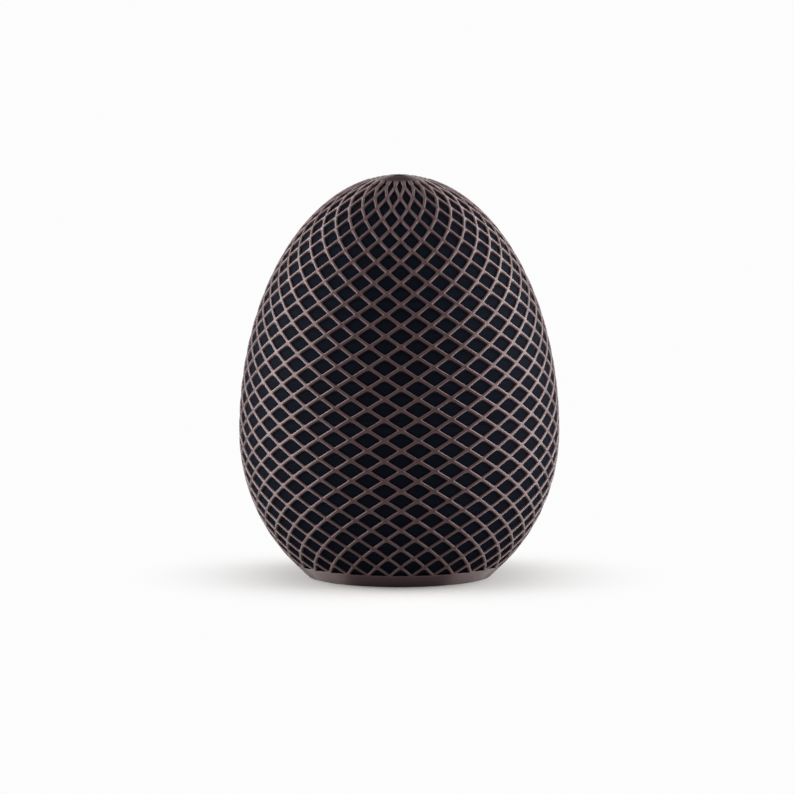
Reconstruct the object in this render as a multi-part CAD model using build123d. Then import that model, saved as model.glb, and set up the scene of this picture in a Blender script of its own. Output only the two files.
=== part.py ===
from build123d import *
from math import acos, asin, cos, pi, radians, sin
import os

# Openwork egg ornament extruded in two colours: a closed black inner egg inside a flush lattice of
# brown ribs, which rise from a foot ring and run into a crown cap.
# Millimetres, +Z up. The origin is the middle of the foot's underside, where the egg stands.

# Outer egg: two half ellipses that meet at the widest level, cut flat where it stands
EGG_RADIUS = 30.0       # at the widest level, over the ribs
WIDEST_LEVEL = 27.3     # height of the widest level above the table
UPPER_RISE = 48.0       # from the widest level up to the crown
LOWER_DROP = 33.0       # from the widest level down to the lower ellipse's tip, below the table

# Ribs: as many climb to the right as to the left, and they cross in level rows
RIB_COUNT = 30          # ribs of each hand
RIB_WIDTH = 0.62        # along the surface, outer edge to outer edge
RIB_DEPTH = 0.42        # square to the surface: one extruded line
ROW_RISE = 1.88         # from one row of crossings up to the next
FIRST_ROW = 0.3         # height of the lowest row of crossings
FRONT_ANGLE = -90.0     # degrees from +X: a crossing of the lowest row faces -Y

# Solid ends that the ribs run into
FOOT_HEIGHT = 2.35
FOOT_FLARE = 0.35       # how far the foot ring stands out past the egg's own curve on the table
CROWN_RADIUS = 6.0

# Inner egg
SHELL_WALL = 1.2
FLOOR_THICKNESS = 1.2

# Clearance from the inner egg to what lies on it, and round the crown cap's edge
SEAT_GAP = 0.05

# Fineness of the curves that the profile and the ribs follow
PROFILE_STEPS = 14
RIB_STEPS = 20

TURN_RATE = pi / RIB_COUNT / ROW_RISE   # a rib turns half a pitch for each row that it climbs
EGG_HEIGHT = WIDEST_LEVEL + UPPER_RISE
ON_BASE = (Align.CENTER, Align.CENTER, Align.MIN)


def ellipse_reach(angle):
    """Vertical half axis of the ellipse that an angle from the widest level lies on."""
    return UPPER_RISE if angle > 0 else LOWER_DROP


def ellipse_angle(height):
    """Angle on the egg's ellipse, from the widest level, of a height on the outer surface."""
    drop = height - WIDEST_LEVEL
    return asin(drop / ellipse_reach(drop))


def profile_point(angle, depth):
    """Radius and height of the profile at an ellipse angle, a depth below the outer surface."""
    reach = ellipse_reach(angle)
    normal = Vector(reach * cos(angle), EGG_RADIUS * sin(angle)).normalized()
    return Vector(EGG_RADIUS * cos(angle), WIDEST_LEVEL + reach * sin(angle)) - normal * depth


def egg_body(depth, floor):
    """Solid egg at a depth below the outer surface, cut flat at the floor height."""
    quarter = [pi / 2 * step / PROFILE_STEPS for step in range(PROFILE_STEPS + 1)]
    lower = Edge.make_spline([profile_point(angle - pi / 2, depth) for angle in quarter], parameters=quarter)
    upper = Edge.make_spline([profile_point(angle, depth) for angle in quarter], parameters=quarter)
    axis_line = Line(upper @ 1, lower @ 0)
    body = revolve(Plane.XZ * make_face([lower, upper, axis_line]), Axis.Z)
    return split(body, bisect_by=Plane.XY.offset(floor), keep=Keep.TOP)


def rib_frame(angle, hand):
    """Point of a rib's centre line on the outer surface, the outward normal and the way across the rib."""
    reach = ellipse_reach(angle)
    radius = EGG_RADIUS * cos(angle)
    height = WIDEST_LEVEL + reach * sin(angle)
    turn = radians(FRONT_ANGLE) + hand * TURN_RATE * (height - FIRST_ROW)
    outward = Vector(cos(turn), sin(turn), 0)
    sideways = Vector(-sin(turn), cos(turn), 0)
    upward = Vector(0, 0, 1)
    climb = reach * cos(angle)
    shrink = EGG_RADIUS * sin(angle)
    along = upward * climb - outward * shrink + sideways * (hand * TURN_RATE * climb * radius)
    normal = (outward * climb + upward * shrink).normalized()
    return outward * radius + upward * height, normal, normal.cross(along).normalized()


def rib_bar(hand):
    """One rib as a square-edged bar on the inner egg, a little longer at both ends than it shows."""
    low_end = LOWER_DROP * ellipse_angle(FOOT_HEIGHT - RIB_WIDTH - RIB_DEPTH)
    high_end = UPPER_RISE * acos((CROWN_RADIUS - RIB_DEPTH) / EGG_RADIUS)
    shares = [step / RIB_STEPS for step in range(RIB_STEPS + 1)]
    corners = [[], [], [], []]
    for share in shares:
        place = low_end + (high_end - low_end) * share
        point, normal, across = rib_frame(place / ellipse_reach(place), hand)
        half = across * (RIB_WIDTH / 2)
        foot = point - normal * RIB_DEPTH
        for corner, spot in zip(corners, (point + half, point - half, foot - half, foot + half)):
            corner.append(spot)
    edges = [Edge.make_spline(corner, parameters=shares) for corner in corners]
    faces = [Face.make_surface_from_curves(edges[side - 1], edges[side]) for side in range(4)]
    faces += [Face(Wire.make_polygon([corner[end] for corner in corners])) for end in (0, -1)]
    return Solid(Shell(faces))


def rib_family(hand):
    """All the ribs of one hand, trimmed to the foot ring's top and the crown cap's edge."""
    below = Cylinder(EGG_RADIUS, FOOT_HEIGHT, align=ON_BASE)
    crown = Pos(0, 0, WIDEST_LEVEL) * Cylinder(CROWN_RADIUS + SEAT_GAP, EGG_HEIGHT, align=ON_BASE)
    rib = (rib_bar(hand) - [below, crown]).solid()
    return Compound([rib.rotate(Axis.Z, 360 / RIB_COUNT * place) for place in range(RIB_COUNT)])


def right_hand_ribs():
    """Ribs that climb anticlockwise seen from above, fused with the other hand's at every crossing."""
    return rib_family(1)


def left_hand_ribs():
    """Ribs that climb clockwise seen from above, flush with the other hand's."""
    return rib_family(-1)


def foot_ring():
    """Ring that the ribs stand on, its inside a seat for the inner egg."""
    table_radius = profile_point(ellipse_angle(0), 0).X + FOOT_FLARE
    rim_radius = profile_point(ellipse_angle(FOOT_HEIGHT), 0).X
    return Cone(table_radius, rim_radius, FOOT_HEIGHT, align=ON_BASE) - egg_body(RIB_DEPTH, 0)


def crown_cap():
    """Closed cap that the upper ends of the ribs run into."""
    core = Pos(0, 0, WIDEST_LEVEL) * Cylinder(CROWN_RADIUS, EGG_HEIGHT, align=ON_BASE)
    return (egg_body(0, 0) - egg_body(RIB_DEPTH, 0)) & core


def inner_egg():
    """Closed hollow egg with a flat floor, which carries the ribs all over."""
    depth = RIB_DEPTH + SEAT_GAP
    return egg_body(depth, 0) - egg_body(depth + SHELL_WALL, FLOOR_THICKNESS)


os.makedirs("parts", exist_ok=True)
for make_piece in (inner_egg, foot_ring, right_hand_ribs, left_hand_ribs, crown_cap):
    export_step(make_piece(), f"parts/{make_piece.__name__}.step")
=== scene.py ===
from math import asin, cos, hypot, pi, radians, sin, sqrt

import bpy
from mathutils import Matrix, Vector


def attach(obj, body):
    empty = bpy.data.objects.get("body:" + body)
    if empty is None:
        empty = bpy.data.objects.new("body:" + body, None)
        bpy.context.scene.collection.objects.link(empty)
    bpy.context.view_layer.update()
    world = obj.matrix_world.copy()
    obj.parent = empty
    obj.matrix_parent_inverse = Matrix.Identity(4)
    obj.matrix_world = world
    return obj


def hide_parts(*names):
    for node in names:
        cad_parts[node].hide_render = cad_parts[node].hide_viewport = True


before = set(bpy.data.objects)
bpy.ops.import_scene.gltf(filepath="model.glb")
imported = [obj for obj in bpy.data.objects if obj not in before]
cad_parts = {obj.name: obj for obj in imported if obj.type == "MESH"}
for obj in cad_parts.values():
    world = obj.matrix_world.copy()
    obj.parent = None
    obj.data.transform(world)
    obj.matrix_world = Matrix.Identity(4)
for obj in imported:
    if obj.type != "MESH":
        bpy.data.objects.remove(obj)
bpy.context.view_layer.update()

# Inner egg: a closed egg of dark plastic, extruded in thin level layers on its own flat floor.
# Everything else is laid on it, so it shows as the dark ground of every window.
EGG_RADIUS = 0.030
WIDEST_LEVEL = 0.0273
UPPER_RISE = 0.048
LOWER_DROP = 0.033
EGG_TOP = WIDEST_LEVEL + UPPER_RISE
RIB_DEPTH = 0.00042
SEAT_GAP = 0.00005
CORE_DEPTH = RIB_DEPTH + SEAT_GAP
CORE_TOP = EGG_TOP - CORE_DEPTH
CORE_ROWS = 130
CORE_SEGMENTS = 144
CORE_FLOOR_BEVEL = 0.0001
CORE_FLOOR_RING = 0.6           # share of the floor's radius
ON_AXIS = 1e-7                  # a smaller radius is a single point on the axis
HALVINGS = 30                   # steps of a search that halves its range
LAYER_HEIGHT = 0.0002
LAYER_WAVE = (420.0, 1.0)       # scale and detail
LAYER_ROUNDING = 0.34           # share of a layer that its rounded edge takes up
LAYER_RELIEF = 0.00004
DARK_PLASTIC = (0.0026, 0.0034, 0.0060, 1)
DARK_PLASTIC_WORN = (0.0048, 0.0058, 0.0098, 1)
DARK_SPECULAR = 0.01
DARK_ROUGHNESS = (0.62, 0.82)
DARK_WAVINESS = 0.35
DARK_CLOUD = (900.0, 4.0, 0.65) # scale, detail and roughness
DARK_CLOUD_RELIEF = 0.5
DARK_BUMP = 0.5


def egg_point(height, depth):
    """Radius and height of the point that lies a depth under a height on the egg's outer surface."""
    drop = height - WIDEST_LEVEL
    reach = UPPER_RISE if drop > 0 else LOWER_DROP
    tilt = asin(max(-1.0, min(1.0, drop / reach)))
    across, along = reach * cos(tilt), EGG_RADIUS * sin(tilt)
    size = hypot(across, along)
    return EGG_RADIUS * cos(tilt) - depth * across / size, height - depth * along / size


def egg_radius(height, depth):
    """Radius, at a height, of the surface that lies a depth below the egg's outer surface."""
    low, high = height - 2 * depth, height + 2 * depth
    for halving in range(HALVINGS):
        middle = (low + high) / 2
        low, high = (middle, high) if egg_point(middle, depth)[1] < height else (low, middle)
    return egg_point(low, depth)[0]


def turned_mesh(name, profile, segments, ring=False):
    """Mesh of a profile of radius and height turned round Z.

    The profile runs downwards on the outside, and the ends of a ring's profile meet.
    """
    points, rows = [], []
    for radius, height in profile:
        if radius < ON_AXIS:
            rows.append([len(points)] * segments)
            points.append((0, 0, height))
            continue
        rows.append([len(points) + place for place in range(segments)])
        for place in range(segments):
            turn = 2 * pi * place / segments
            points.append((radius * cos(turn), radius * sin(turn), height))
    faces = []
    for upper, lower in zip(rows, rows[1:] + rows[:1] if ring else rows[1:]):
        for place in range(segments):
            after = (place + 1) % segments
            corners = (upper[place], lower[place], lower[after], upper[after])
            faces.append(tuple(dict.fromkeys(corners)))
    mesh = bpy.data.meshes.new(name)
    mesh.from_pydata(points, [], faces)
    mesh.shade_smooth()
    return mesh


def put_in_scene(name, data):
    """New object with this data, in the scene."""
    piece = bpy.data.objects.new(name, data)
    bpy.context.collection.objects.link(piece)
    return piece


def new_finish(name):
    """New material, with its node tree and its shader."""
    finish = bpy.data.materials.new(name)
    finish.use_nodes = True
    return finish, finish.node_tree, finish.node_tree.nodes["Principled BSDF"]


def node_at(tree, kind, **settings):
    """A node of a tree, with its settings, and with values for its sockets by name or number."""
    node = tree.nodes.new(kind)
    sockets = settings.pop("sockets", {})
    for setting, value in settings.items():
        setattr(node, setting, value)
    for socket, value in sockets.items():
        if isinstance(value, bpy.types.NodeSocket):
            tree.links.new(value, node.inputs[socket])
        else:
            node.inputs[socket].default_value = value
    return node


def sum_node(tree, operation, first, second=0.0, third=0.0):
    """The output of one Math node."""
    node = node_at(tree, "ShaderNodeMath", operation=operation, sockets={0: first, 1: second, 2: third})
    return node.outputs[0]


def cloud_node(tree, place, scale, detail, roughness=0.5):
    """Soft noise from 0 to 1."""
    return node_at(tree, "ShaderNodeTexNoise", sockets={
        "Vector": place, "Scale": scale, "Detail": detail, "Roughness": roughness}).outputs["Fac"]


def step_node(tree, value, start, end):
    """Smooth step, 0 where a value is at its start and 1 at its end."""
    return node_at(tree, "ShaderNodeMapRange", interpolation_type="SMOOTHSTEP", sockets={
        "Value": value, "From Min": start, "From Max": end}).outputs["Result"]


def spread_node(tree, value, low, high):
    """A value from 0 to 1 spread from a low to a high one."""
    return node_at(tree, "ShaderNodeMapRange", sockets={
        "Value": value, "To Min": low, "To Max": high}).outputs["Result"]


def mix_node(tree, share, first, second):
    """Two colours mixed by the second one's share."""
    return node_at(tree, "ShaderNodeMix", data_type="RGBA", sockets={
        "Factor": share, 6: first, 7: second}).outputs[2]


def bump_node(tree, strength, height):
    """Normals of a surface with the relief of extruded layers."""
    return node_at(tree, "ShaderNodeBump", sockets={
        "Strength": strength, "Distance": LAYER_RELIEF, "Height": height}).outputs["Normal"]


layer_lines = bpy.data.node_groups.new("layer_lines", "ShaderNodeTree")
for socket_name, socket_way, socket_kind in (
        ("Place", "INPUT", "NodeSocketVector"), ("Layer height", "INPUT", "NodeSocketFloat"),
        ("Waviness", "INPUT", "NodeSocketFloat"), ("Height", "OUTPUT", "NodeSocketFloat"),
        ("Tone", "OUTPUT", "NodeSocketFloat")):
    layer_lines.interface.new_socket(socket_name, in_out=socket_way, socket_type=socket_kind)
lines_in = layer_lines.nodes.new("NodeGroupInput").outputs
lines_out = layer_lines.nodes.new("NodeGroupOutput").inputs
line_level = node_at(layer_lines, "ShaderNodeSeparateXYZ", sockets={0: lines_in["Place"]}).outputs["Z"]
line_wave = cloud_node(layer_lines, lines_in["Place"], *LAYER_WAVE)
line_shift = sum_node(layer_lines, "MULTIPLY", line_wave, lines_in["Waviness"])
line_count = sum_node(layer_lines, "ADD", sum_node(
    layer_lines, "DIVIDE", line_level, lines_in["Layer height"]), line_shift)
line_crest = sum_node(layer_lines, "PINGPONG", line_count, 0.5)
line_round = step_node(layer_lines, line_crest, 0.0, LAYER_ROUNDING)
line_tone = node_at(layer_lines, "ShaderNodeTexWhiteNoise", noise_dimensions="1D", sockets={
    "W": sum_node(layer_lines, "FLOOR", line_count)}).outputs["Value"]
layer_lines.links.new(line_round, lines_out["Height"])
layer_lines.links.new(line_tone, lines_out["Tone"])

dark_plastic, dark_tree, dark_shader = new_finish("dark_layered_plastic")
dark_shader.inputs["Specular IOR Level"].default_value = DARK_SPECULAR
dark_place = dark_tree.nodes.new("ShaderNodeTexCoord").outputs["Object"]
dark_lines = node_at(dark_tree, "ShaderNodeGroup", node_tree=layer_lines, sockets={
    "Place": dark_place, "Layer height": LAYER_HEIGHT, "Waviness": DARK_WAVINESS}).outputs
dark_cloud = cloud_node(dark_tree, dark_place, *DARK_CLOUD)
dark_share = sum_node(dark_tree, "MULTIPLY", dark_cloud, dark_lines["Tone"])
dark_colour = mix_node(dark_tree, dark_share, DARK_PLASTIC, DARK_PLASTIC_WORN)
dark_rough = spread_node(dark_tree, dark_cloud, *DARK_ROUGHNESS)
dark_relief = sum_node(dark_tree, "MULTIPLY_ADD", dark_cloud, DARK_CLOUD_RELIEF, dark_lines["Height"])
dark_tree.links.new(dark_colour, dark_shader.inputs["Base Color"])
dark_tree.links.new(dark_rough, dark_shader.inputs["Roughness"])
dark_tree.links.new(bump_node(dark_tree, DARK_BUMP, dark_relief), dark_shader.inputs["Normal"])

core_profile = [(0, CORE_TOP)]
for row in range(1, CORE_ROWS):
    height = CORE_TOP * (0.5 + 0.5 * cos(pi * row / CORE_ROWS))
    core_profile.append((egg_radius(height, CORE_DEPTH), height))
core_foot = egg_radius(0, CORE_DEPTH)
core_profile += [(core_foot - CORE_FLOOR_BEVEL, 0), (core_foot * CORE_FLOOR_RING, 0), (0, 0)]
inner_egg = put_in_scene("dark_inner_egg", turned_mesh("dark_inner_egg", core_profile, CORE_SEGMENTS))
inner_egg.data.materials.append(dark_plastic)
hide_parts("inner_egg")
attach(inner_egg, "root")

# Lattice: brown plastic ribs of two extruded lines each, which climb both ways round the egg and are
# fused where they cross. They are extruded on the inner egg, and each window sags round at its top.
RIB_COUNT = 30
HALF_PITCH = pi / RIB_COUNT
ROW_RISE = 0.00188
FIRST_ROW = 0.0003
LAST_ROW = 39
RIB_HALF_WIDTH = 0.00031
TOP_TAPER = 0.22                # loss of width over the egg's whole height, from TAPER_START up
TAPER_START = 0.5
MOST_SHARE = 0.49               # the most that half a rib may take of a cell's side
TIP_CLEARANCE = 0.0002          # the ribs' slope is taken no nearer to the egg's tip
LINE_CREST = 0.00011
LINE_EDGE = 0.00022
EDGE_DROP = 0.00025
SHOULDER_DROP = 0.00008
GROOVE_DROP = 0.00002
UNDERSIDE_SAG = 0.00010
FOOT_HEIGHT = 0.00235
CROWN_RADIUS = 0.0060
CROWN_EDGE = WIDEST_LEVEL + UPPER_RISE * sqrt(1 - (CROWN_RADIUS / EGG_RADIUS) ** 2)
CROWN_LEVEL = (CROWN_EDGE - FIRST_ROW) / ROW_RISE
# A window's places round its edge, and the cuts that round its corners, as shares of its sides
WINDOW_PLACES = 16
TOP_PLACES = 9
SIDE_CUT, TOP_CUT, BASE_CUT, CENTRE_CUT = 0.10, 0.24, 0.08, 0.2
TIP_ROUNDING = 0.45
CORNER_ROUNDING = 0.4
# Sides of the lowest and the highest windows that no other window closes
FOOT_SIDES = range(8, WINDOW_PLACES)
CROWN_SIDES = range(2, 6)
# Below the lowest windows the ribs end in the foot ring: levels in rows, and a depth
FOOT_END, FOOT_WINDOW_END, FOOT_SINK = -0.25, -0.1, 0.0003
NEAR_CROSSING = 0.99
# In the last row a window's outer edge turns from its sides to the crown cap at this share of its rise
CROWN_CORNER = 0.45
# Tones across a rib from its seat to its groove, which its colours and gloss follow: painted shade on the
# seat and flanks, a painted highlight along the edges, the plastic's own colour on the crests and painted
# shade in the groove
SEAT_SHADE_TONE, FLANK_SHADE_TONE, EDGE_HIGHLIGHT_TONE, CREST_TONE, GROOVE_SHADE_TONE = -1, -0.4, 1, 0.7, 0.5
RIB_SECTION = (
    (0, RIB_DEPTH, SEAT_SHADE_TONE), (RIB_HALF_WIDTH, RIB_DEPTH, SEAT_SHADE_TONE),
    (RIB_HALF_WIDTH, EDGE_DROP, FLANK_SHADE_TONE), (LINE_EDGE, SHOULDER_DROP, EDGE_HIGHLIGHT_TONE),
    (LINE_CREST, 0, CREST_TONE), (0, GROOVE_DROP, GROOVE_SHADE_TONE))
# Tones between which the groove's painted shade turns to the crest's own colour, to the edges' painted
# highlight, and to the flanks' painted shade
CREST_STEP, HIGHLIGHT_STEP, FLANK_SHADE_STEP = (0.5, 0.72), (0.7, 0.97), (0.5, -0.3)
# The brown plastic's own colour, then painted shade for the groove, a painted highlight for the rib edges and
# painted shade for the flanks
BROWN_PLASTIC = (0.028, 0.0130, 0.0155, 1)
BROWN_GROOVE_SHADE = (0.019, 0.0085, 0.0115, 1)
BROWN_EDGE_HIGHLIGHT = (0.062, 0.037, 0.036, 1)
BROWN_FLANK_SHADE = (0.013, 0.0065, 0.0080, 1)
BROWN_GLINT = (1.0, 0.76, 0.75, 1)
BROWN_SPECULAR, FLANK_SPECULAR = 0.75, 0.2
BROWN_ROUGHNESS = (0.44, 0.58)
BROWN_TONES = (0.78, 1.22)
LAYER_TONE_SHARE, CLOUD_TONE_SHARE = 0.5, 0.5
BROWN_WAVINESS = 0.5
BROWN_CLOUD = (1300.0, 3.0, 0.6)
BROWN_CLOUD_RELIEF = 0.4
BROWN_BUMP = 0.35
ACROSS_LAYERS = 0.25            # a quarter turn of the grain, from along the layers to across them
JOIN_DISTANCE = 0.000002
LATTICE_SHARP = radians(70)


def rib_share(level, across):
    """Share of a cell's side that a distance across a rib takes up, at a level counted in rows."""
    height = min(FIRST_ROW + ROW_RISE * level, EGG_TOP - TIP_CLEARANCE)
    drop = height - WIDEST_LEVEL
    reach = UPPER_RISE if drop > 0 else LOWER_DROP
    radius = EGG_RADIUS * sqrt(1 - (drop / reach) ** 2)
    slope = hypot(1, EGG_RADIUS ** 2 * drop / reach ** 2 / radius)
    taper = 1 - TOP_TAPER * max(0.0, level / LAST_ROW - TAPER_START)
    turn = hypot(radius * HALF_PITCH / ROW_RISE, slope) / (slope * radius) * across * taper
    return min(turn / (2 * HALF_PITCH), MOST_SHARE)


def window_reach(row, across, rising):
    """How far a window reaches from its row, in rows, at a distance from the ribs' centre lines."""
    low, high = 0.0, 1.0
    for halving in range(HALVINGS):
        middle = (low + high) / 2
        if 1 - middle > 2 * rib_share(row + rising * middle, across):
            low = middle
        else:
            high = middle
    return low


def window_loop(row, across):
    """Places round a window, a distance from the ribs' centre lines.

    Each is given sideways in half pitches and upwards in rows, from the window's middle.
    """
    weight = across / RIB_HALF_WIDTH
    centre_cut = CENTRE_CUT * (1 - weight)
    crown_rise = CROWN_LEVEL - row
    quarters = []
    for rising, tip_cut in ((1, TOP_CUT), (-1, BASE_CUT)):
        reach = window_reach(row, across, rising)
        if rising > 0 and crown_rise < 1:
            tip = window_reach(row, RIB_HALF_WIDTH, rising)
            reach = min(reach, tip + (crown_rise - tip) * (1 - weight))
        side = []
        for share in (SIDE_CUT * weight + centre_cut, 0.5, 1 - tip_cut * weight - centre_cut):
            risen = rising * share * reach
            side.append((1 - share * reach - 2 * rib_share(row + risen, across), risen))
        quarters.append((side, rising * reach * (1 - tip_cut * weight * TIP_ROUNDING)))
    (upper, top), (lower, base) = quarters
    corner = 1 - 2 * rib_share(row, across) - SIDE_CUT * weight * CORNER_ROUNDING
    return ([(-corner, 0)] + [(-turned, risen) for turned, risen in upper] + [(0, top)] + upper[::-1]
            + [(corner, 0)] + lower + [(0, base)] + [(-turned, risen) for turned, risen in lower[::-1]])


def settled_place(row, across, depth, turned, risen):
    """A place round a window and its depth, ended at the foot ring and at the crown cap's edge."""
    if row == 1 and risen < 0:
        off_crossing = across == 0 and abs(turned) < NEAR_CROSSING
        return turned, FOOT_END if off_crossing else max(risen, FOOT_WINDOW_END), max(depth, FOOT_SINK)
    if row == LAST_ROW and across == 0 and risen > 0:
        top = CROWN_LEVEL - row
        share = risen / top
        side = 0 if turned == 0 else turned / abs(turned)
        turned, risen = (side, 2 * share * top) if share < CROWN_CORNER else (side * 2 * (1 - share), top)
        return turned, risen, depth if depth == RIB_DEPTH else 0
    return turned, risen, depth


def lattice_point(row, turned, risen, depth):
    """Point of the lattice a depth below the outer surface, from its place round the window of a row."""
    turn = HALF_PITCH * (turned + (row + 1) % 2) - pi / 2
    radius, height = egg_point(FIRST_ROW + ROW_RISE * (row + risen), depth)
    return radius * cos(turn), radius * sin(turn), height


def loop_faces(first, second, places):
    """Faces between two loops round a window, given by their first points."""
    for place in places:
        after = (place + 1) % WINDOW_PLACES
        yield first + place, first + after, second + after, second + place


sector_points, sector_faces, sector_light_tones = [], [], []
for row in range(1, LAST_ROW + 1):
    loops = [window_loop(row, across) for across, depth, tone in RIB_SECTION]
    loops[1][:TOP_PLACES] = window_loop(row, RIB_HALF_WIDTH + UNDERSIDE_SAG)[:TOP_PLACES]
    first = len(sector_points)
    for loop, (across, depth, tone) in zip(loops, RIB_SECTION):
        for turned, risen in loop:
            sector_points.append(lattice_point(row, *settled_place(row, across, depth, turned, risen)))
            sector_light_tones.append(tone)
    last = len(sector_points) - WINDOW_PLACES
    for start in range(first, last, WINDOW_PLACES):
        sector_faces += loop_faces(start, start + WINDOW_PLACES, range(WINDOW_PLACES))
    open_sides = FOOT_SIDES if row == 1 else CROWN_SIDES if row == LAST_ROW else ()
    sector_faces += loop_faces(last, first, open_sides)

brown_plastic, brown_tree, brown_shader = new_finish("brown_layered_plastic")
brown_shader.inputs["Specular Tint"].default_value = BROWN_GLINT
brown_shader.inputs["Anisotropic"].default_value = 1.0
brown_shader.inputs["Anisotropic Rotation"].default_value = ACROSS_LAYERS
brown_grain = node_at(brown_tree, "ShaderNodeTangent", direction_type="RADIAL", axis="Z").outputs[0]
brown_place = brown_tree.nodes.new("ShaderNodeTexCoord").outputs["Object"]
brown_lines = node_at(brown_tree, "ShaderNodeGroup", node_tree=layer_lines, sockets={
    "Place": brown_place, "Layer height": LAYER_HEIGHT, "Waviness": BROWN_WAVINESS}).outputs
brown_cloud = cloud_node(brown_tree, brown_place, *BROWN_CLOUD)
# Painted light across the ribs and the foot ring: shade painted in the grooves and on the flanks, a highlight
# painted along the edges, and the flanks' gloss lowered with their painted shade
painted_light_tone = node_at(brown_tree, "ShaderNodeAttribute", attribute_name="painted_light_tone").outputs["Fac"]
crest_share = step_node(brown_tree, painted_light_tone, *CREST_STEP)
highlight_share = step_node(brown_tree, painted_light_tone, *HIGHLIGHT_STEP)
flank_shade_share = step_node(brown_tree, painted_light_tone, *FLANK_SHADE_STEP)
groove_shaded_colour = mix_node(brown_tree, crest_share, BROWN_GROOVE_SHADE, BROWN_PLASTIC)
highlighted_colour = mix_node(brown_tree, highlight_share, groove_shaded_colour, BROWN_EDGE_HIGHLIGHT)
flank_shaded_colour = mix_node(brown_tree, flank_shade_share, highlighted_colour, BROWN_FLANK_SHADE)
brown_glint = spread_node(brown_tree, flank_shade_share, BROWN_SPECULAR, FLANK_SPECULAR)
tone_sum = sum_node(brown_tree, "MULTIPLY_ADD", brown_lines["Tone"], LAYER_TONE_SHARE, sum_node(
    brown_tree, "MULTIPLY", brown_cloud, CLOUD_TONE_SHARE))
tone_value = spread_node(brown_tree, tone_sum, *BROWN_TONES)
brown_colour = node_at(brown_tree, "ShaderNodeVectorMath", operation="SCALE", sockets={
    0: flank_shaded_colour, "Scale": tone_value}).outputs[0]
brown_rough = spread_node(brown_tree, brown_cloud, *BROWN_ROUGHNESS)
brown_relief = sum_node(
    brown_tree, "MULTIPLY_ADD", brown_cloud, BROWN_CLOUD_RELIEF, brown_lines["Height"])
brown_tree.links.new(brown_grain, brown_shader.inputs["Tangent"])
brown_tree.links.new(brown_glint, brown_shader.inputs["Specular IOR Level"])
brown_tree.links.new(brown_colour, brown_shader.inputs["Base Color"])
brown_tree.links.new(brown_rough, brown_shader.inputs["Roughness"])
brown_tree.links.new(bump_node(brown_tree, BROWN_BUMP, brown_relief), brown_shader.inputs["Normal"])

window_ring = bpy.data.node_groups.new("windows_round_the_egg", "GeometryNodeTree")
window_ring.interface.new_socket("Column", in_out="INPUT", socket_type="NodeSocketGeometry")
ring_count = window_ring.interface.new_socket("Columns", in_out="INPUT", socket_type="NodeSocketInt")
ring_join = window_ring.interface.new_socket("Join distance", in_out="INPUT", socket_type="NodeSocketFloat")
ring_finish = window_ring.interface.new_socket("Finish", in_out="INPUT", socket_type="NodeSocketMaterial")
window_ring.interface.new_socket("Lattice", in_out="OUTPUT", socket_type="NodeSocketGeometry")
ring_in = window_ring.nodes.new("NodeGroupInput").outputs
ring_out = window_ring.nodes.new("NodeGroupOutput").inputs
ring_places = node_at(window_ring, "GeometryNodePoints", sockets={"Count": ring_in["Columns"]})
ring_step = sum_node(window_ring, "DIVIDE", 2 * pi, ring_in["Columns"])
ring_index = window_ring.nodes.new("GeometryNodeInputIndex").outputs[0]
ring_turn = sum_node(window_ring, "MULTIPLY", ring_index, ring_step)
ring_euler = node_at(window_ring, "ShaderNodeCombineXYZ", sockets={"Z": ring_turn}).outputs[0]
ring_rotation = node_at(window_ring, "FunctionNodeEulerToRotation", sockets={0: ring_euler}).outputs[0]
ring_columns = node_at(window_ring, "GeometryNodeInstanceOnPoints", sockets={
    "Points": ring_places.outputs[0], "Instance": ring_in["Column"], "Rotation": ring_rotation})
ring_real = node_at(window_ring, "GeometryNodeRealizeInstances", sockets={0: ring_columns.outputs[0]})
ring_merge = node_at(window_ring, "GeometryNodeMergeByDistance", sockets={
    "Geometry": ring_real.outputs[0], "Distance": ring_in["Join distance"]})
ring_painted = node_at(window_ring, "GeometryNodeSetMaterial", sockets={
    "Geometry": ring_merge.outputs[0], "Material": ring_in["Finish"]})
window_ring.links.new(ring_painted.outputs[0], ring_out["Lattice"])

column_mesh = bpy.data.meshes.new("window_column")
column_mesh.from_pydata(sector_points, [], sector_faces)
column_mesh.attributes.new("painted_light_tone", "FLOAT", "POINT").data.foreach_set("value", sector_light_tones)
lattice = put_in_scene("brown_rib_lattice", column_mesh)
ring_modifier = lattice.modifiers.new("windows", "NODES")
ring_modifier.node_group = window_ring
ring_modifier[ring_count.identifier] = RIB_COUNT
ring_modifier[ring_join.identifier] = JOIN_DISTANCE
ring_modifier[ring_finish.identifier] = brown_plastic
evaluated = bpy.context.evaluated_depsgraph_get()
lattice_mesh = bpy.data.meshes.new_from_object(lattice.evaluated_get(evaluated), depsgraph=evaluated)
lattice.modifiers.clear()
lattice.data = lattice_mesh
lattice_mesh.shade_smooth()
lattice_mesh.set_sharp_from_angle(angle=LATTICE_SHARP)
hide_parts("right_hand_ribs", "left_hand_ribs")
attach(lattice, "root")

# Foot ring: a solid ring of the brown plastic at the base, extruded layer on layer under the lattice.
# Its upper edge is a narrow ledge that the lowest windows stand on.
FOOT_FLARE = 0.00035
FOOT_SEGMENTS = 180
FOOT_LEDGE_BEVEL = 0.00008
FOOT_TABLE_BEVEL = 0.0001
LAYER_NICK = 0.000035
LAYER_SECTION = ((0.88, 0.4), (0.55, 0.0), (0.12, 1.0))     # shares of a layer's height and of its nick
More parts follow.
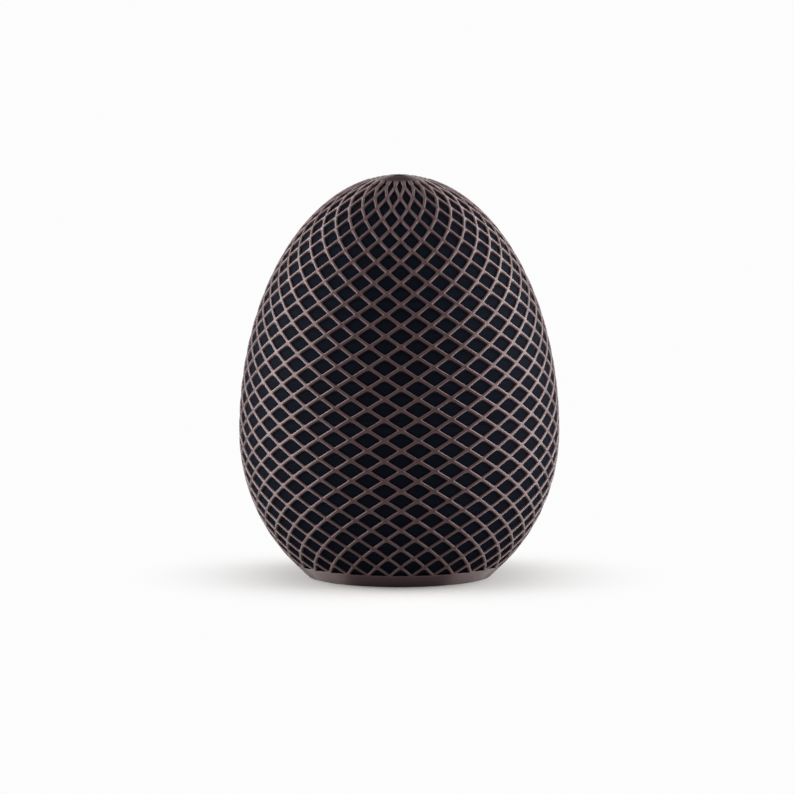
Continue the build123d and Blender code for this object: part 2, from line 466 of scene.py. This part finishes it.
# Painted light on the foot ring: a highlight painted on the ledge's rim and on the top layer, the layers
# painted darker towards the bottom, and shade painted in the nicks between layers and on the underside
LEDGE_LIGHT_TONES = [0.0, 1.0]
UNDERSIDE_SHADE_TONES = [-0.2, -1.0]
TOP_LAYER_HIGHLIGHT_TONE = 1.0
LOW_LAYER_SHADE_TONE, LAYER_LIGHT_RISE, NICK_SHADE = 0.25, 0.4, 0.3
END_SHARP = radians(60)
foot_table = egg_point(0.0, 0.0)[0] + FOOT_FLARE
foot_rim = egg_point(FOOT_HEIGHT, 0.0)[0]
foot_layers = round(FOOT_HEIGHT / LAYER_HEIGHT)
foot_profile = [(egg_radius(FOOT_HEIGHT, RIB_DEPTH), FOOT_HEIGHT), (foot_rim - FOOT_LEDGE_BEVEL, FOOT_HEIGHT)]
foot_light_tones = LEDGE_LIGHT_TONES[:]
for layer in reversed(range(foot_layers)):
    layer_light_tone = LOW_LAYER_SHADE_TONE + LAYER_LIGHT_RISE * layer / foot_layers
    if layer == foot_layers - 1:
        layer_light_tone = TOP_LAYER_HIGHLIGHT_TONE
    for share, nick in LAYER_SECTION:
        height = FOOT_HEIGHT * (layer + share) / foot_layers
        radius = foot_table + (foot_rim - foot_table) * height / FOOT_HEIGHT
        foot_profile.append((radius - nick * LAYER_NICK, height))
        foot_light_tones.append(layer_light_tone - NICK_SHADE * nick)
foot_profile += [(foot_table - FOOT_TABLE_BEVEL, 0), (egg_radius(0, RIB_DEPTH), 0)]
foot_light_tones += UNDERSIDE_SHADE_TONES
foot_mesh = turned_mesh("brown_foot_ring", foot_profile, FOOT_SEGMENTS, ring=True)
foot_ring = put_in_scene("brown_foot_ring", foot_mesh)
foot_mesh.attributes.new("painted_light_tone", "FLOAT", "POINT").data.foreach_set(
    "value", [tone for tone in foot_light_tones for place in range(FOOT_SEGMENTS)])
foot_mesh.materials.append(brown_plastic)
foot_mesh.set_sharp_from_angle(angle=END_SHARP)
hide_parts("foot_ring")
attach(foot_ring, "root")

# Crown cap: the closed top of the brown lattice, where the ribs run together.
# The last few layers lie there as round terraces, each a little smaller than the one below.
CROWN_SEGMENTS = 120
TOP_LAYER_RADIUS = 0.00184
NUB_RADIUS = 0.00022
NUB_RISE = 0.00010
NUB_SECTION = ((0, 0), (0.7, 0.00003), (1, 0.00009))        # share of the radius, and drop from the top
TERRACE_SECTION = ((0.00020, 0), (0.00006, 0.00002), (0, 0.00008))      # inwards and down from its edge
TERRACE_BULGE, TERRACE_LIFT = 0.00003, 0.00002
CROWN_RIM_BEVEL, CROWN_RIM_STEP = 0.0001, 0.00002
crown_profile = [(NUB_RADIUS * share, EGG_TOP - drop) for share, drop in NUB_SECTION]
level = EGG_TOP - NUB_RISE
step = WIDEST_LEVEL + UPPER_RISE * sqrt(1 - (TOP_LAYER_RADIUS / EGG_RADIUS) ** 2)
while step > CROWN_EDGE:
    radius = egg_point(step, 0.0)[0]
    crown_profile += [(radius - inset, level - drop) for inset, drop in TERRACE_SECTION]
    level -= LAYER_HEIGHT
    step -= LAYER_HEIGHT
    crown_profile.append((radius + TERRACE_BULGE, level + TERRACE_LIFT))
crown_profile += [
    (CROWN_RADIUS - CROWN_RIM_BEVEL, CROWN_EDGE + CROWN_RIM_STEP),
    (CROWN_RADIUS + SEAT_GAP, CROWN_EDGE - CROWN_RIM_STEP),
    (CROWN_RADIUS + SEAT_GAP, CROWN_EDGE - RIB_DEPTH), (0, EGG_TOP - RIB_DEPTH)]
crown_cap = put_in_scene("brown_crown_cap", turned_mesh("brown_crown_cap", crown_profile, CROWN_SEGMENTS))
# With no tone attribute the cap takes the groove's painted shade, mixed about two thirds of the way to the
# flanks' painted shade and their lowered gloss
crown_cap.data.materials.append(brown_plastic)
crown_cap.data.set_sharp_from_angle(angle=END_SHARP)
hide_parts("crown_cap")
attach(crown_cap, "root")

# Studio: a pale floor that fades into a white surround, soft light from both sides and above,
# and a long lens a little above the egg's middle.
FLOOR_PALE = (0.455, 0.447, 0.437, 1)
FLOOR_ROUGHNESS = 0.8
FLOOR_SPECULAR = 0.1
FLOOR_RINGS = (0, 0.05, 0.3, 1.6)
FLOOR_SEGMENTS = 64
FLOOR_FADE = (0.0145, 0.053)
SURROUND_WHITE = (0.975, 0.975, 0.98, 1)
WORLD_GREY = (0.70, 0.70, 0.71, 1)
EGG_MIDDLE = Vector((0, 0, 0.036))
SOFTBOXES = (                   # place, size and power
    ("left_softbox", (-0.36, 0.035, 0.155), (0.43, 0.31), 4.2),
    ("right_softbox", (0.36, 0.03, 0.155), (0.51, 0.31), 4.8),
    ("top_softbox", (0, 0.12, 0.55), (0.45, 0.45), 0.45))
VIEW_DISTANCE = 0.850
VIEW_RISE = radians(5.65)
VIEW_TURN = radians(0.70)
VIEW_AIM = 0.03352
VIEW_SIDE_STEP = -0.00042
SENSOR_WIDTH = 36
FOCAL_LENGTH = 205.7
NEAREST_SEEN = 0.01


def seen_share(tree):
    """1 for the rays that see the white surround: straight, in a reflection or through glass."""
    path = tree.nodes.new("ShaderNodeLightPath").outputs
    return sum_node(tree, "MAXIMUM", path["Is Camera Ray"], sum_node(
        tree, "MAXIMUM", path["Is Glossy Ray"], path["Is Transmission Ray"]))


floor_mesh = turned_mesh("pale_floor", [(radius, 0) for radius in FLOOR_RINGS], FLOOR_SEGMENTS)
floor_mesh.flip_normals()
floor = put_in_scene("pale_floor", floor_mesh)
floor_finish, floor_tree, floor_shader = new_finish("pale_floor")
floor_shader.inputs["Base Color"].default_value = FLOOR_PALE
floor_shader.inputs["Roughness"].default_value = FLOOR_ROUGHNESS
floor_shader.inputs["Specular IOR Level"].default_value = FLOOR_SPECULAR
floor_place = floor_tree.nodes.new("ShaderNodeTexCoord").outputs["Object"]
floor_distance = node_at(floor_tree, "ShaderNodeVectorMath", operation="LENGTH", sockets={
    0: floor_place}).outputs["Value"]
floor_fade = step_node(floor_tree, floor_distance, *FLOOR_FADE)
floor_share = sum_node(floor_tree, "MULTIPLY", floor_fade, seen_share(floor_tree))
floor_white = node_at(floor_tree, "ShaderNodeEmission", sockets={"Color": SURROUND_WHITE, "Strength": 1.0})
floor_mix = node_at(floor_tree, "ShaderNodeMixShader", sockets={
    0: floor_share, 1: floor_shader.outputs[0], 2: floor_white.outputs[0]})
floor_tree.links.new(floor_mix.outputs[0], floor_tree.nodes["Material Output"].inputs["Surface"])
floor_mesh.materials.append(floor_finish)

surround = bpy.data.worlds.new("white_surround")
bpy.context.scene.world = surround
surround.use_nodes = True
surround_tree = surround.node_tree
surround_light = surround_tree.nodes["Background"]
surround_light.inputs["Color"].default_value = WORLD_GREY
surround_white = node_at(surround_tree, "ShaderNodeBackground", sockets={
    "Color": SURROUND_WHITE, "Strength": 1.0})
surround_mix = node_at(surround_tree, "ShaderNodeMixShader", sockets={
    0: seen_share(surround_tree), 1: surround_light.outputs[0], 2: surround_white.outputs[0]})
surround_tree.links.new(surround_mix.outputs[0], surround_tree.nodes["World Output"].inputs["Surface"])

for light_name, light_place, light_size, light_power in SOFTBOXES:
    light = bpy.data.lights.new(light_name, "AREA")
    light.shape = "RECTANGLE"
    light.size, light.size_y = light_size
    light.energy = light_power
    lamp = put_in_scene(light_name, light)
    lamp.location = light_place
    lamp.rotation_euler = (EGG_MIDDLE - Vector(light_place)).to_track_quat("-Z", "Y").to_euler()

lens = bpy.data.cameras.new("long_lens")
lens.sensor_width = SENSOR_WIDTH
lens.lens = FOCAL_LENGTH
lens.clip_start = NEAREST_SEEN
camera = put_in_scene("long_lens", lens)
view_way = Vector((-sin(VIEW_TURN) * cos(VIEW_RISE), -cos(VIEW_TURN) * cos(VIEW_RISE), sin(VIEW_RISE)))
view_right = Vector((cos(VIEW_TURN), -sin(VIEW_TURN), 0))
view_target = Vector((0, 0, VIEW_AIM)) + view_right * VIEW_SIDE_STEP
camera.location = view_target + view_way * VIEW_DISTANCE
camera.rotation_euler = (-view_way).to_track_quat("-Z", "Y").to_euler()
bpy.context.scene.camera = camera
bpy.context.scene.view_settings.view_transform = "Standard"
